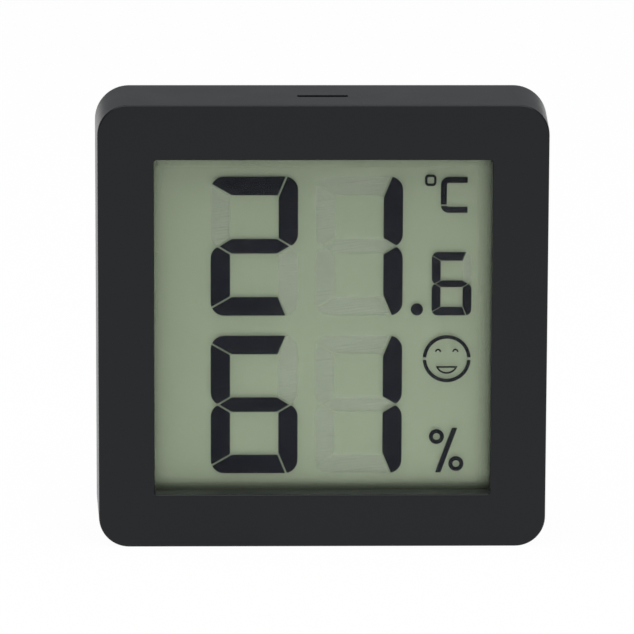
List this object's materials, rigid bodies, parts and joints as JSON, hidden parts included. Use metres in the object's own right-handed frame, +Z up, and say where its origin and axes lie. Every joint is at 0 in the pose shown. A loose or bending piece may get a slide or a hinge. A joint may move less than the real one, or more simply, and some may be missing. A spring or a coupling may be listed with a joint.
{
  "type": "room thermo-hygrometer",
  "caption": "Small square black room thermometer and hygrometer with a recessed segment display, a vent slot in the top, a coin cell behind a turning rear cover and a unit button at the back.",
  "frame": {"origin": "Middle of the standing face: middle of the width and of the depth, at the lowest level.", "axes": "+Z up. The display faces -Y, the battery cover and the button face +Y. +X is to the right as seen from the front."},
  "size_m": [0.056, 0.0136, 0.0555],
  "materials": {
    "case_plastic": "fine matte moulded black",
    "button_plastic": "smooth satin black",
    "steel": "nickel plated",
    "spring_steel": "plated spring strip",
    "cell_steel": "fine brushed",
    "display_glass": "clear polished",
    "display_seal": "clear adhesive line",
    "display_film": "grey-green satin reflector",
    "lit_segments": "dark",
    "idle_segments": "faint tint",
    "connector_rubber": "striped silicone",
    "frame_plastic": "smooth",
    "board_laminate": "solder mask",
    "epoxy": "poured epoxy",
    "capacitor_ceramic": "fired ceramic",
    "sensor_ceramic": "white moulding",
    "gasket_plastic": "smooth"
  },
  "bodies": {
    "case": {"front_case": "case_plastic", "rear_cover": "case_plastic", "rear_screws": "steel", "switch_body": "steel", "lcd_front_polarizer": "display_glass", "lcd_front_glass": "display_glass", "lcd_seal": "display_seal", "lcd_rear_glass": "display_glass", "lcd_reflector": "display_film", "lcd_temperature_segments": "lit_segments", "lcd_humidity_segments": "lit_segments", "lcd_unit_symbols": "lit_segments", "lcd_comfort_face": "lit_segments", "lcd_idle_segments": "idle_segments", "zebra_upper": "connector_rubber", "zebra_lower": "connector_rubber", "display_frame": "frame_plastic", "circuit_board": "board_laminate", "board_screws": "steel", "controller_chip": "epoxy", "crystal": "steel", "capacitors": "capacitor_ceramic", "resistors": "epoxy", "humidity_sensor": "sensor_ceramic", "thermistor": "epoxy", "battery_contact_positive": "spring_steel", "battery_contact_negative": "spring_steel", "cell_can": "cell_steel", "cell_gasket": "gasket_plastic", "cell_cap": "cell_steel"},
    "button": {"unit_button": "button_plastic", "switch_plunger": "button_plastic"},
    "battery_door": {"battery_cover": "case_plastic"}
  },
  "joints": [
    {"name": "unit_button_press", "type": "slide", "parent": "case", "child": "button", "axis": [0, -1, 0], "range_m": [0, 0.00035], "stiffness_N_per_m": 4000},
    {"name": "battery_cover_turn", "type": "hinge", "parent": "case", "child": "battery_door", "pos_m": [0, 0.00625, 0.02778], "axis": [0, 1, 0], "range_deg": [0, 40]}
  ]
}
